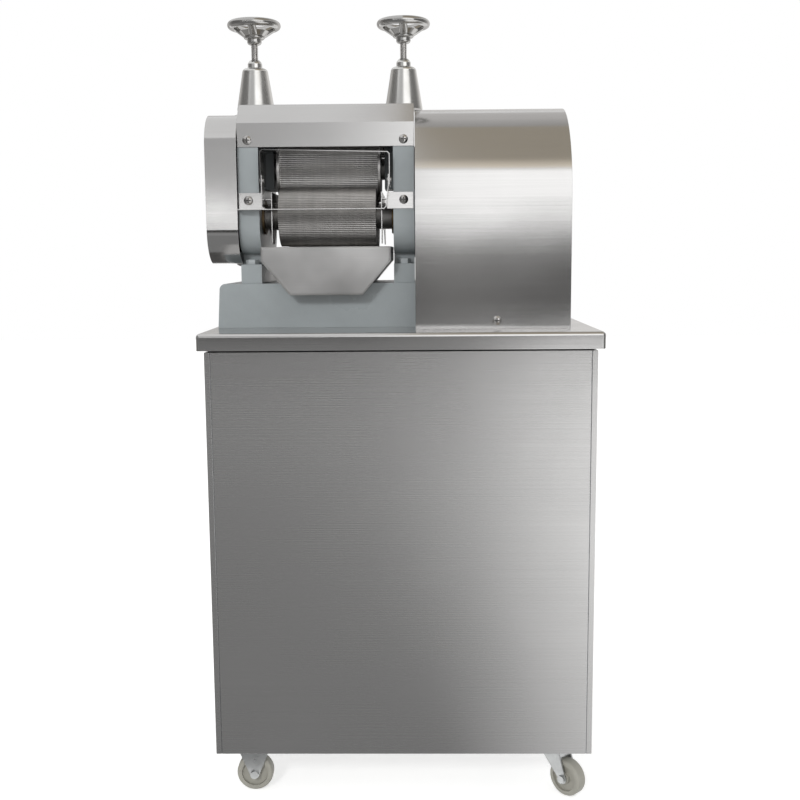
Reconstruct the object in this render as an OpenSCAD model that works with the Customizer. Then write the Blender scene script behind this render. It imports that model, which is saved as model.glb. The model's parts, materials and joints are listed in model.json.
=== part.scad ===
// Electric sugarcane juicer on a wheeled stainless cabinet.
// X runs to the right, Y to the back and Z up; the origin is on the floor under the worktop's middle.

/* [Cabinet] */
// Width of the worktop
worktop_w = 520; // [500:5:640]
// Depth of the worktop
worktop_d = 400; // [380:5:520]
// Height of the worktop's folded edge
worktop_t = 22; // [16:1:32]
// Height of the worktop's top face above the floor
worktop_z = 639; // [560:1:760]
// Radius of the worktop's rounded upper edge
worktop_round = 5; // [4:0.5:8]
// Sheet thickness of the worktop
worktop_sheet = 1.5; // [1:0.1:2.5]
// Distance of the cabinet's side from the worktop's end
side_inset = 8; // [4:1:30]
// Distance of the cabinet's front from the worktop's edge
front_inset = 12; // [10:1:30]
// Thickness of the black seal under the worktop
gasket_t = 3; // [2:0.5:6]
// Width of the seal
gasket_w = 18; // [10:1:22]
// Sheet thickness of the panels
panel_t = 1.2; // [0.8:0.1:2]
// Side of the frame's square tube
tube = 25; // [22:1:32]
// Wall of the frame's square tube
tube_wall = 1.5; // [1:0.1:3]
// Width of the side panels' folded front edge
front_fold = 7; // [4:1:20]
// Width of the side panels' folded rear edge
rear_fold = 20; // [18:1:25]
// Gap between a panel and the edge beside it
panel_gap = 1; // [0.5:0.1:3]
// Thickness of the corner plates that carry the casters
corner_plate_t = 3; // [2:0.5:6]
// Side of the corner plates
corner_plate_w = 90; // [86:1:120]

/* [Rear door] */
// Depth of the door's stiffening rim
door_rim = 15; // [8:1:20]
// Distance of each hinge from the door's end
hinge_inset = 70; // [40:5:120]
// Length of each hinge
hinge_len = 60; // [40:5:90]
// Diameter of the hinge knuckle
knuckle_d = 7; // [6:0.5:8]
// Diameter of the hinge pin
hinge_pin_d = 3.6; // [2:0.1:4]
// Thickness of the hinge leaves
hinge_leaf_t = 1.5; // [1:0.1:2]
// Diameter of the latch's rose
latch_d = 26; // [20:1:34]

/* [Casters] */
// Height from the floor to the cabinet's underside
caster_h = 72; // [70:1:90]
// Diameter of the wheels
wheel_d = 50; // [40:1:55]
// Width of the wheels
wheel_w = 18; // [14:1:24]
// Distance of the casters' plates from the cabinet's sides, to their middle
caster_side = 45; // [42:1:57]
// Distance of the casters' plates from the cabinet's front and back, to their middle
caster_end = 48; // [43:1:68]
// Side of the casters' top plate
caster_plate = 62; // [56:1:76]
// Trail of the swivel casters
caster_trail = 25; // [18:1:28]
// Direction in which the swivel casters trail
trail_angle = -45; // [-180:5:180]
// Diameter of the wheel axles
axle_d = 8; // [6:0.5:10]
// Diameter of the swivel pin
king_pin_d = 10; // [8:0.5:14]
// Sheet thickness of the forks
fork_t = 2.5; // [2:0.1:4]

/* [Milling head] */
// Sideways place of the head's middle
head_x = -99.5; // [-110:0.5:-90]
// Place of the head's middle, front to back
head_y = -5; // [-20:1:10]
// Clear distance between the cheeks
head_gap = 180; // [176:1:200]
// Thickness of the cheeks
cheek_t = 28; // [26:1:36]
// Depth of the cheeks, front to back
cheek_d = 180; // [176:1:200]
// Height of the cheeks
cheek_h = 238; // [232:1:260]
// Radius under the cheeks' front and back
cheek_round = 35; // [20:1:40]
// Height of the cheeks' feet
foot_h = 26; // [20:1:32]
// Distance of the feet's ends from the cheeks' front and back
foot_inset = 10; // [4:1:12]
// Height of the cast base
base_h = 60; // [45:1:80]
// Depth of the cast base
base_d = 166; // [162:1:180]
// Wall of the cast base
base_wall = 8; // [5:0.5:12]
// How far the base reaches out past the left cheek
base_left = 33; // [10:1:40]
// Length of the base past the right cheek
base_right = 180; // [120:1:195]
// Height of the lower roller axes above the base
axis_h = 90; // [84:1:100]

/* [Rollers and gears] */
// Outer diameter of the rollers
roller_d = 80; // [70:1:84]
// Gap between the rollers
roller_gap = 1; // [0.5:0.1:2]
// Length of the lower rollers
roller_len = 132; // [110:1:136]
// Number of flutes on a roller
flutes = 90; // [40:1:120]
// Depth of the flutes
flute_depth = 0.8; // [0.3:0.1:1.2]
// Diameter of the roller shafts
shaft_d = 30; // [24:1:32]
// Height of the top roller's end flanges above its flutes
flange_rise = 6; // [2:0.5:8]
// Thickness of the top roller's end flanges
flange_t = 3.5; // [2:0.5:4]
// Number of teeth on each gear
gear_teeth = 27; // [20:1:36]
// Face width of the gears
gear_w = 20; // [14:1:24]
// Clearance between the two lower gears' tips
gear_gap = 3.2; // [1:0.2:6]
// Pressure angle of the teeth
pressure_angle = 30; // [27:1:30]
// Play that stays between the teeth when the top roller is fully lifted
tooth_play = 0.1; // [0.05:0.05:0.2]
// How far the top roller can lift
lift = 3; // [1:0.5:3.5]

/* [Pressure towers] */
// Width of the top roller's bearing blocks
block_w = 56; // [50:1:60]
// Height of the bearing blocks
block_h = 58; // [50:1:64]
// How far a bearing block stands in from its cheek
block_in = 13; // [6:1:14]
// Diameter of a tower at its foot
tower_d = 52; // [44:1:58]
// Diameter of a tower at its shoulder
tower_top_d = 36; // [34:1:44]
// Height of a tower
tower_h = 58; // [54:1:70]
// Radius of the tower's shoulder
shoulder_r = 6; // [4:0.5:8]
// Diameter of the spring chamber
chamber_d = 26; // [24:0.5:30]
// Diameter of the push rods under the springs
rod_d = 15; // [12:0.5:16]
// Diameter of the tower's screwed foot
spigot_d = 22; // [20:0.5:23]
// Wire thickness of the springs
spring_wire = 3.2; // [2:0.1:4]
// Number of turns of each spring
spring_turns = 5; // [3:0.5:6]
// Diameter of the pressure screws
screw_d = 10; // [8:0.5:12]
// Thread pitch of the pressure screws
screw_pitch = 1.5; // [1:0.25:1.75]
// Turns of a pressure screw to either side of rest
screw_turns = 3; // [1:1:3]
// Height of the domed lock nut
dome_h = 11; // [8:0.5:14]
// Bare length of the pressure screw over the lock nut
screw_show = 21; // [14:1:30]
// Outer diameter of the handwheels
wheel_rim_d = 74; // [60:1:90]
// Thickness of the handwheel's rim
rim_t = 11; // [8:0.5:13]
// Height of the rim's middle above the hub's foot
rim_rise = 26; // [20:1:32]
// Diameter of the handwheel's hub
hub_d = 29; // [26:1:32]

/* [Covers and sheet parts] */
// Sheet thickness of the covers
cover_t = 1.2; // [0.8:0.1:2]
// Drop of the top cover's apron below its bend
apron_h = 31; // [24:1:36]
// Rise of the top cover's slope
slope_h = 26; // [16:1:34]
// Run of the top cover's slope
slope_run = 24; // [14:1:34]
// Room round the gears inside their cover, front and back
gear_room_y = 12; // [6:1:14]
// Room above and below the gears inside their cover
gear_room_z = 20; // [8:1:24]
// Width of the gear cover
gear_cover_w = 42; // [36:1:48]
// Corner radius of the gear cover
gear_cover_r = 45; // [25:1:55]
// Width of the motor cover
motor_cover_w = 204; // [196:1:220]
// Height of the motor cover
motor_cover_h = 297; // [290:1:320]
// Radius of the motor cover's round top
motor_cover_r = 126; // [124:1:130]
// Place of the motor cover's middle, front to back
motor_cover_y = -12; // [-16:1:-8]
// Height of the feed chute's floor above the lower roller axes
chute_z = 8; // [4:1:12]
// Height of the feed chute
chute_h = 77; // [60:1:80]
// Outer width of the feed chute
chute_w = 172; // [160:1:174]
// How far the feed chute stands out from the cheeks
chute_out = 17; // [8:1:40]
// How much the chute's roof falls from left to right
chute_droop = 4; // [0:0.5:6]
// Sheet thickness of the feed chute
chute_t = 1.2; // [0.8:0.1:1.6]
// Overlap of the chute's two halves
chute_lap = 14; // [10:1:20]
// Length of the discharge slide behind the rollers
slide_len = 55; // [30:1:70]
// Fall of the discharge slide
slide_fall = 18; // [10:1:24]
// Height of the discharge slide's sides
slide_side = 24; // [15:1:30]
// Height of the discharge slide's upper edge above the lower roller axes
slide_up = 11; // [8:1:14]
// Outer width of the juice tray
tray_w = 173; // [150:1:176]
// Gap between the juice tray and the rollers
tray_gap = 1; // [0.5:0.1:4]
// Depth of the tray's spout, front to back
spout_d = 20; // [12:1:30]
// Width of the spout's lip
lip_w = 97; // [60:1:120]
// Height of the tray's upright front edge
spout_side = 19; // [15:1:35]
// Drop of the spout's slanted sides
spout_drop = 45; // [25:1:50]

/* [Drive] */
// Diameter of the motor
motor_d = 130; // [110:1:136]
// Room between the motor's end and the end of its cover
motor_room = 24; // [15:1:40]
// Thickness of the gearbox
gearbox_t = 74; // [60:1:78]
// Diameter of the gearbox's round ends
gearbox_d = 112; // [104:1:116]
// Place of the motor axis behind the driven roller
motor_back = 62; // [50:1:66]
// Height of the motor axis above the driven roller
motor_up = 44; // [30:1:50]
// Outer diameter of the hollow output shaft
sleeve_d = 42; // [38:1:48]
// Distance of the switch behind the motor cover's front
switch_back = 58; // [40:1:90]
// Height of the switch above the worktop
switch_up = 80; // [60:1:110]

/* [Fits and fasteners] */
// Radial clearance of a running fit
run_fit = 0.05; // [0.03:0.01:0.1]
// Clearance of a sliding block on each side
slide_fit = 0.2; // [0.1:0.05:0.3]
// Radial clearance of a screw in its hole
screw_fit = 0.15; // [0.1:0.05:0.3]
// Thread diameter of the sheet screws
sheet_screw_d = 5; // [4:0.5:6]
// Head diameter of the sheet screws
sheet_head_d = 12; // [9:0.5:13]
// Head height of the sheet screws
sheet_head_h = 3.6; // [2.5:0.1:4.5]
// Thread diameter of the hexagon bolts
bolt_d = 10; // [8:1:12]
// Width across corners of the bolt heads
bolt_head_d = 18; // [15:0.5:20]
// Height of the bolt heads
bolt_head_h = 6.5; // [5:0.5:8]

/* [Hidden] */
$fn = 48;

steel = "silver";
sheet = "gainsboro";
paint = "lightsteelblue";
chrome = "whitesmoke";

// Cabinet
cab_w = worktop_w - 2 * side_inset;
cab_d = worktop_d - 2 * front_inset;
cab_top = worktop_z - worktop_t - gasket_t;
cab_bottom = caster_h;
inner_x = cab_w / 2 - panel_t;
inner_y = cab_d / 2 - panel_t;
// The seal under the worktop, from the middle to its outer edge; the worktop's fold ends at its inner edge
seal_x = inner_x - 3;
seal_y = inner_y - 3;
post_x = inner_x - tube;
post_y = inner_y - tube;
rail_z = cab_bottom + corner_plate_t;
floor_z = rail_z + tube;

// Rear door
door_x = cab_w / 2 - rear_fold - panel_gap;
door_z0 = cab_bottom + 2 * panel_gap;
door_z1 = cab_top - 2 * panel_gap;
rim_x = post_x - 4;
rim_z0 = floor_z + panel_t + 4;
rim_z1 = cab_top - tube - 4;
hinge_x = door_x + panel_gap / 2;
hinge_y = cab_d / 2 + knuckle_d / 2 + 0.5;
hinge_zs = [door_z0 + hinge_inset, door_z1 - hinge_inset - hinge_len];
leaf_w = 16;
latch_x = -door_x + 34;
latch_z = (door_z0 + door_z1) / 2;
latch_spindle_d = 10;

// Head, measured along X
left_in = head_x - head_gap / 2;
left_out = left_in - cheek_t;
right_in = head_x + head_gap / 2;
right_out = right_in + cheek_t;
cheek_xs = [left_out + cheek_t / 2, right_in + cheek_t / 2];
base_top = worktop_z + base_h;

// Rollers and gears
centre_dist = roller_d + roller_gap;
gear_module = centre_dist / gear_teeth;
pitch_r = centre_dist / 2;
gear_tip_r = pitch_r + 0.8 * gear_module;
gear_root_r = pitch_r - gear_module;
lower_spread = 2 * gear_tip_r + gear_gap;
top_rise = sqrt(centre_dist * centre_dist - lower_spread * lower_spread / 4);
axis_z = base_top + axis_h;
top_z = axis_z + top_rise;
front_y = head_y - lower_spread / 2;
rear_y = head_y + lower_spread / 2;
mesh_angle = atan2(top_rise, lower_spread / 2);
top_phase = -90;
front_phase = 2 * mesh_angle + 180 - top_phase + 180 / gear_teeth;
rear_phase = 180 - front_phase;
backlash = 2 * (lift * (cos(mesh_angle) - sin(mesh_angle) * tan(pressure_angle)) + tooth_play);
roller_x0 = head_x - roller_len / 2;
roller_x1 = head_x + roller_len / 2;
top_over = 2;
flange_r = roller_d / 2 + flange_rise;
gear_x1 = left_out - 8;
gear_x0 = gear_x1 - gear_w;
gear_shaft_d = shaft_d - 5;
bush_wall = 4;
bush_d = shaft_d + 2 * bush_wall;
bush_flange_d = bush_d + 8;
bush_flange_t = 3;
hidden_end = 2;

// Pressure towers
slot_z = top_z - block_h / 2;
slot_top = top_z + block_h / 2 + lift + 4;
cheek_top = base_top + cheek_h;
tower_z = cheek_top + cover_t;
spigot_len = 14;
tower_floor = 6;
tower_wall_top = 6;
rod_head_d = chamber_d - 2;
rod_head_t = 4;
rod_head_z = tower_z + tower_floor + 0.5;
spring_z0 = rod_head_z + rod_head_t;
screw_travel = screw_pitch * screw_turns;
pad_t = 7;
pad_top = tower_z + tower_h - tower_wall_top - screw_travel - 0.8;
spring_z1 = pad_top - pad_t;
spring_d = chamber_d - 3;
dome_z = tower_z + tower_h;
dome_d = 20;
hub_z = dome_z + dome_h + screw_show;
screw_seat = 2;

// Covers
cheek_front = head_y - cheek_d / 2;
cheek_back = head_y + cheek_d / 2;
bend_z = cheek_top - slope_h;
apron_z = bend_z - apron_h;
apron_screw_z = apron_z + 9;
gear_cover_x0 = left_out - gear_cover_w;
gear_cover_d = lower_spread + 2 * gear_tip_r + 2 * gear_room_y;
gear_cover_z0 = axis_z - gear_tip_r - gear_room_z;
gear_cover_z1 = top_z + gear_tip_r + 2 * lift + gear_room_z;
lug = sheet_head_d + 2;
lug_ys = [head_y - 35, head_y + 35];
motor_cover_x0 = right_out + 1;
motor_cover_x1 = motor_cover_x0 + motor_cover_w;
motor_cover_mid = worktop_z + motor_cover_h - motor_cover_r;
motor_cover_front = motor_cover_y - motor_cover_r;
motor_cover_back = motor_cover_y + motor_cover_r;
bracket_h = 22;
bracket_d = 14;
bracket_w = 30;
bracket_t = 2;
cover_screw_x = motor_cover_x0 + motor_cover_w / 2 + 5;
cover_screw_z = worktop_z + 11;

// Feed chute, discharge slide and baffles
chute_z0 = axis_z + chute_z;
chute_z1 = chute_z0 + chute_h;
chute_y0 = cheek_front - chute_out;
chute_split = chute_z0 + chute_h / 2;
chute_fold = 3;
chute_taper = 3.5;
ear_z0 = chute_z0 + 1;
ear_h = 22;
ear_screw_z = ear_z0 + 12;
rivet_d = 4;
rivet_head_d = 7;
rivet_z = chute_split;
rivet_y = chute_y0 + 10;
baffle_t = 1.2;
baffle_x = roller_len / 2 + top_over + flange_t + 2;
baffle_z0 = axis_z - roller_d / 2 + 3;
baffle_z1 = axis_z + 32;
baffle_leg = 22;
baffle_tab_w = 18;
tenon_w = 12;
tenon_z0 = axis_z + 7;
trash_room = 1.2;
trash_top_room = 2.5;

// Juice tray
tray_h = axis_h - roller_d / 2 - tray_gap;
tray_top = base_top + tray_h;
tray_t = 1.2;
tray_y0 = head_y - base_d / 2 - 10;
tray_y1 = head_y + base_d / 2 - 8;
spout_y0 = tray_y0 - spout_d;
lip_z = tray_top - spout_side - spout_drop;
tray_floor_front = base_top + 6;
tray_floor_back = base_top + 18;

// Drive
motor_y = front_y + motor_back;
motor_z = axis_z + motor_up;
gearbox_x1 = right_out + gearbox_t;
motor_x1 = motor_cover_x1 - cover_t - motor_room;
fan_len = 26;
fin_pitch = 9;
fin_h = 5;
switch_y = motor_cover_front + switch_back;
switch_z = worktop_z + switch_up;
switch_w = 22;
switch_h = 30;
switch_depth = 18;
switch_bezel = 2.5;
rocker_pin_d = 3;
rocker_tilt = 8;
gland_x = motor_cover_x1 - 30;
gland_z = worktop_z + 28;
gland_d = 16;

// Casters
caster_x = cab_w / 2 - caster_side;
caster_y = cab_d / 2 - caster_end;
wheel_r = wheel_d / 2;
plate_t = 3;
fork_gap = wheel_w + 3;
fork_top = cab_bottom - plate_t;
race_h = 6;
race_d = 44;
swivel_play = 0.3;
caster_bolt_d = 6;
caster_head_h = 4;
swivel_top = fork_top - race_h - swivel_play;
trail_xy = caster_trail * [cos(trail_angle), sin(trail_angle)];

// Spaces that shapes share
module box(low, high) {
    translate(low)
        cube(high - low);
}

module x_rod(d, x0, x1, y, z) {
    translate([x0, y, z])
        rotate([0, 90, 0])
            cylinder(d = d, h = x1 - x0);
}

module y_rod(d, y0, y1, x, z) {
    translate([x, y1, z])
        rotate([90, 0, 0])
            cylinder(d = d, h = y1 - y0);
}

module z_rod(d, z0, z1, x, y) {
    translate([x, y, z0])
        cylinder(d = d, h = z1 - z0);
}

// A profile drawn as (y, z), pushed along X
module along_x(x0, x1) {
    translate([x0, 0, 0])
        rotate([90, 0, 90])
            linear_extrude(x1 - x0)
                children();
}

// A profile drawn as (x, z), pushed along Y
module along_y(y0, y1) {
    translate([0, y1, 0])
        rotate([90, 0, 0])
            linear_extrude(y1 - y0)
                children();
}

module rounded_rect(low, high, r) {
    size = high - low;
    translate(low + [r, 0])
        square([size.x - 2 * r, size.y]);
    translate(low + [0, r])
        square([size.x, size.y - 2 * r]);
    for (x = [low.x + r, high.x - r], y = [low.y + r, high.y - r])
        translate([x, y])
            circle(r);
}

// Two equal circles and the band between them
module link(p, q, r) {
    for (c = [p, q])
        translate(c)
            circle(r);
    translate(p)
        rotate(atan2(q.y - p.y, q.x - p.x))
            translate([0, -r])
                square([norm(q - p), 2 * r]);
}

// The children and their mirror image on the other side of the head's middle
module both_sides() {
    children();
    translate([2 * head_x, 0, 0])
        mirror([1, 0, 0])
            children();
}

// A slab whose upper edges are rounded
module rounded_slab(w, d, z0, z1, r) {
    box([-w / 2 + r, -d / 2 + r, z0], [w / 2 - r, d / 2 - r, z1]);
    box([-w / 2, -d / 2 + r, z0], [w / 2, d / 2 - r, z1 - r]);
    box([-w / 2 + r, -d / 2, z0], [w / 2 - r, d / 2, z1 - r]);
    for (y = [-1, 1] * (d / 2 - r))
        x_rod(2 * r, -w / 2 + r, w / 2 - r, y, z1 - r);
    for (x = [-1, 1] * (w / 2 - r)) {
        y_rod(2 * r, -d / 2 + r, d / 2 - r, x, z1 - r);
        for (y = [-1, 1] * (d / 2 - r)) {
            z_rod(2 * r, z0, z1 - r, x, y);
            translate([x, y, z1 - r])
                sphere(r);
        }
    }
}

// Square tube between two corners, open along one axis (0 for X, 1 for Y, 2 for Z)
module square_tube(low, high, axis) {
    inset = [for (i = [0:2]) i == axis ? -1 : tube_wall];
    difference() {
        box(low, high);
        box(low + inset, high - inset);
    }
}

module cabinet_frame() {
    color(steel) {
        for (sx = [-1, 1], sy = [-1, 1])
            in_quarter(sx, sy)
                square_tube([post_x, post_y, rail_z], [inner_x, inner_y, cab_top], 2);
        difference() {
            for (sx = [-1, 1], sy = [-1, 1])
                in_quarter(sx, sy)
                    box([inner_x - corner_plate_w, inner_y - corner_plate_w, cab_bottom],
                        [inner_x, inner_y, rail_z]);
            at_each_caster()
                caster_bolts(cab_bottom - 1, rail_z + 1, caster_bolt_d + 2 * screw_fit);
        }
        for (z = [rail_z, cab_top - tube]) {
            for (y = [-inner_y, post_y])
                square_tube([-post_x, y, z], [post_x, y + tube, z + tube], 0);
            for (x = [-inner_x, post_x])
                square_tube([x, -post_y, z], [x + tube, post_y, z + tube], 1);
        }
    }
}

// Mirrors a corner into one of the four quarters
module in_quarter(sx, sy) {
    mirror([sx < 0 ? 1 : 0, 0, 0])
        mirror([0, sy < 0 ? 1 : 0, 0])
            children();
}

module front_panel() {
    x = cab_w / 2 - front_fold - panel_gap;
    color(sheet)
        box([-x, -cab_d / 2, cab_bottom], [x, -inner_y, cab_top]);
}

module side_panels() {
    color(sheet)
        for (sx = [-1, 1])
            in_quarter(sx, 1) {
                box([inner_x, -cab_d / 2, cab_bottom], [cab_w / 2, cab_d / 2, cab_top]);
                box([cab_w / 2 - front_fold, -cab_d / 2, cab_bottom], [cab_w / 2, -inner_y, cab_top]);
                box([cab_w / 2 - rear_fold, inner_y, cab_bottom], [cab_w / 2, cab_d / 2, cab_top]);
            }
}

module cabinet_floor() {
    color(sheet) {
        box([-post_x, -inner_y, floor_z], [post_x, inner_y, floor_z + panel_t]);
        box([-inner_x, -post_y, floor_z], [inner_x, post_y, floor_z + panel_t]);
    }
}

module worktop() {
    z0 = worktop_z - worktop_t;
    t = worktop_sheet;
    mouth = [seal_x - gasket_w, seal_y - gasket_w, 0];
    color(sheet)
        difference() {
            rounded_slab(worktop_w, worktop_d, z0, worktop_z, worktop_round);
            rounded_slab(worktop_w - 2 * t, worktop_d - 2 * t, z0 + t, worktop_z - t, worktop_round - t);
            box(-mouth + [0, 0, z0 - 1], mouth + [0, 0, z0 + worktop_t / 2]);
            base_bolt_holes(worktop_z - t - 1, worktop_z + 1);
        }
}

module worktop_gasket() {
    color("black")
        difference() {
            box([-seal_x, -seal_y, cab_top], [seal_x, seal_y, cab_top + gasket_t]);
            box([-seal_x + gasket_w, -seal_y + gasket_w, cab_top - 1],
                [seal_x - gasket_w, seal_y - gasket_w, cab_top + gasket_t + 1]);
        }
}

// One leaf of a door hinge with its knuckles; side is 1 on the frame and -1 on the door
module hinge_leaf(z, side) {
    cut = hinge_len / 3;
    reach = [hinge_x, hinge_x + side * leaf_w];
    knuckles = side > 0 ? [[0, cut], [2 * cut, hinge_len]] : [[cut + 0.3, 2 * cut - 0.3]];
    difference() {
        for (k = knuckles) {
            z_rod(knuckle_d, z + k[0], z + k[1], hinge_x, hinge_y);
            box([min(reach), cab_d / 2, z + k[0]], [max(reach), cab_d / 2 + hinge_leaf_t, z + k[1]]);
        }
        z_rod(hinge_pin_d + 2 * run_fit, z - 1, z + hinge_len + 1, hinge_x, hinge_y);
    }
}

module rear_door() {
    color(sheet)
        difference() {
            union() {
                box([-door_x, inner_y, door_z0], [door_x, cab_d / 2, door_z1]);
                difference() {
                    box([-rim_x, inner_y - door_rim, rim_z0], [rim_x, inner_y, rim_z1]);
                    box([-rim_x + panel_t, inner_y - door_rim - 1, rim_z0 + panel_t],
                        [rim_x - panel_t, inner_y + panel_t / 2, rim_z1 - panel_t]);
                }
                for (z = hinge_zs)
                    hinge_leaf(z, -1);
            }
            y_rod(latch_spindle_d + 2 * run_fit, inner_y - 1, cab_d / 2 + 1, latch_x, latch_z);
        }
}

module door_hinges() {
    color(steel)
        for (z = hinge_zs) {
            hinge_leaf(z, 1);
            z_rod(hinge_pin_d, z - 1, z + hinge_len + 1, hinge_x, hinge_y);
            for (end = [z - 1.5, z + hinge_len])
                z_rod(knuckle_d - 1, end, end + 1.5, hinge_x, hinge_y);
        }
}

// Quarter-turn latch: rose and wing outside, spindle through the door, cam that turns behind the post
module door_latch() {
    out = cab_d / 2 + 0.3;
    wing_h = 9;
    cam_len = 42;
    color(chrome) {
        y_rod(latch_d, out, out + 2.5, latch_x, latch_z);
        along_y(out + 2, out + wing_h)
            link([latch_x, latch_z - 7], [latch_x, latch_z + 7], 3.5);
        y_rod(latch_spindle_d, post_y - 6, out + 1, latch_x, latch_z);
        along_y(post_y - 6, post_y - 3)
            link([latch_x, latch_z], [latch_x, latch_z + cam_len - 8], 8);
    }
}

// Places of the bolts that hold the base down
module base_bolt_holes(z0, z1, d = bolt_d + 2 * screw_fit) {
    for (x = [left_out - base_left + 24, right_out + base_right - 24], y = [-1, 1] * (base_d / 2 - 22))
        z_rod(d, z0, z1, x, head_y + y);
}

// Places of the bolts through the cheeks' feet
module foot_bolt_holes(z0, z1, d = bolt_d + 2 * screw_fit) {
    for (x = cheek_xs, y = [-1, 1] * (cheek_d / 2 - 22))
        z_rod(d, z0, z1, x, head_y + y);
}

module head_base() {
    x0 = left_out - base_left;
    x1 = right_out + base_right;
    draft = 3;
    r = 8;
    y0 = head_y - base_d / 2;
    y1 = head_y + base_d / 2;
    boss_d = 2.4 * bolt_d;
    color(paint)
        difference() {
            union() {
                difference() {
                    along_y(y0, y1) {
                        polygon([[x0, worktop_z], [x1, worktop_z], [x1, base_top], [x0 + draft + r, base_top],
                                 [x0 + draft, base_top - r]]);
                        translate([x0 + draft + r, base_top - r])
                            circle(r);
                    }
                    box([x0 + base_wall + draft, y0 + base_wall, worktop_z - 1],
                        [x1 - base_wall, y1 - base_wall, base_top - base_wall]);
                }
                base_bolt_holes(worktop_z, base_top - 1, boss_d);
                foot_bolt_holes(base_top - 30, base_top - 1, boss_d);
            }
            base_bolt_holes(worktop_z - 1, base_top - 20);
            foot_bolt_holes(base_top - 25, base_top + 1);
        }
}

// Side view of a cheek: foot, waist, rounded belly and sloped shoulders
module cheek_outline() {
    half = cheek_d / 2;
    waist = half - cheek_round;
    belly_z = foot_h + 14 + cheek_round;
    translate([head_y, base_top]) {
        translate([foot_inset - half, 0])
            square([cheek_d - 2 * foot_inset, foot_h]);
        translate([-waist, 0])
            square([2 * waist, belly_z]);
        for (y = [-waist, waist])
            translate([y, belly_z])
                circle(cheek_round);
        polygon([[-half, belly_z], [half, belly_z], [half, cheek_h - slope_h], [half - slope_run, cheek_h],
                 [slope_run - half, cheek_h], [-half, cheek_h - slope_h]]);
    }
}

// Left cheek's body; the right one is its mirror image
module cheek() {
    x = left_out + cheek_t / 2;
    thread = sheet_screw_d + 2 * screw_fit;
    difference() {
        along_x(left_out, left_in)
            cheek_outline();
        box([left_out - 1, head_y - block_w / 2 - slide_fit, slot_z],
            [left_in + 1, head_y + block_w / 2 + slide_fit, slot_top]);
        for (y = [front_y, rear_y])
            x_rod(bush_d + 2 * run_fit, left_out - 1, left_in + 1, y, axis_z);
        z_rod(rod_d + 2 * run_fit, slot_top - 1, cheek_top + 1, x, head_y);
        z_rod(spigot_d + 2 * run_fit, cheek_top - spigot_len - 0.5, cheek_top + 1, x, head_y);
        foot_bolt_holes(base_top - 1, base_top + foot_h + 1);
        for (z = [apron_screw_z, ear_screw_z]) {
            y_rod(thread, cheek_front - 1, cheek_front + 16, x, z);
            y_rod(thread, cheek_back - 16, cheek_back + 1, x, z);
        }
    }
}

module left_cheek() {
    thread = sheet_screw_d + 2 * screw_fit;
    z0 = gear_cover_z0 + cover_t;
    z1 = gear_cover_z1 - cover_t;
    color(paint)
        difference() {
            union() {
                cheek();
                for (y = lug_ys) {
                    box([left_out - lug, y - lug / 2, z0], [left_out, y + lug / 2, z0 + lug]);
                    box([left_out - lug, y - lug / 2, z1 - lug], [left_out, y + lug / 2, z1]);
                }
            }
            for (y = lug_ys, z = [[z0 - 1, z0 + lug - 1], [z1 - lug + 1, z1 + 1]])
                z_rod(thread, z[0], z[1], left_out - lug / 2, y);
        }
}

module right_cheek() {
    color(paint)
        translate([2 * head_x, 0, 0])
            mirror([1, 0, 0])
                cheek();
}

module top_cover() {
    half = cheek_d / 2;
    t = cover_t;
    flat = half - slope_run;
    clear = sheet_screw_d + 2 * screw_fit;
    color(sheet)
        difference() {
            along_x(left_out, right_out)
                translate([head_y, 0])
                    difference() {
                        polygon([[-half - t, apron_z], [-half - t, bend_z + t / 2],
                                 [-flat - t / 2, cheek_top + t], [flat + t / 2, cheek_top + t],
                                 [half + t, bend_z + t / 2], [half + t, apron_z]]);
                        polygon([[-half, apron_z - 1], [-half, bend_z], [-flat, cheek_top], [flat, cheek_top],
                                 [half, bend_z], [half, apron_z - 1]]);
                    }
            for (x = cheek_xs) {
                z_rod(spigot_d + 2 * run_fit, cheek_top - 1, cheek_top + t + 1, x, head_y);
                y_rod(clear, cheek_front - t - 1, cheek_back + t + 1, x, apron_screw_z);
            }
        }
}

module gear_cover() {
    y0 = head_y - gear_cover_d / 2;
    y1 = head_y + gear_cover_d / 2;
    wall = [cover_t, cover_t];
    color(sheet)
        difference() {
            along_x(gear_cover_x0, left_out)
                rounded_rect([y0, gear_cover_z0], [y1, gear_cover_z1], gear_cover_r);
            along_x(gear_cover_x0 + cover_t, left_out + 1)
                rounded_rect([y0, gear_cover_z0] + wall, [y1, gear_cover_z1] - wall, gear_cover_r - cover_t);
            for (y = lug_ys)
                z_rod(sheet_screw_d + 2 * screw_fit, gear_cover_z0 - 1, gear_cover_z1 + 1,
                      left_out - lug / 2, y);
        }
}

// Side view of the motor cover, drawn in by a wall
module motor_cover_outline(wall, z0) {
    r = motor_cover_r - wall;
    translate([motor_cover_y, motor_cover_mid])
        circle(r);
    translate([motor_cover_y - r, z0])
        square([2 * r, motor_cover_mid - z0]);
}

module motor_cover() {
    clear = sheet_screw_d + 2 * screw_fit;
    color(sheet)
        difference() {
            along_x(motor_cover_x0, motor_cover_x1)
                motor_cover_outline(0, worktop_z);
            along_x(motor_cover_x0 - 1, motor_cover_x1 - cover_t)
                motor_cover_outline(cover_t, worktop_z - 1);
            y_rod(clear, motor_cover_front - 1, motor_cover_back + 1, cover_screw_x, cover_screw_z);
            y_rod(gland_d + 2 * run_fit, motor_cover_y, motor_cover_back + 1, gland_x, gland_z);
            along_x(motor_cover_x1 - 5, motor_cover_x1 + 1)
                switch_outline(slide_fit);
        }
}

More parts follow.
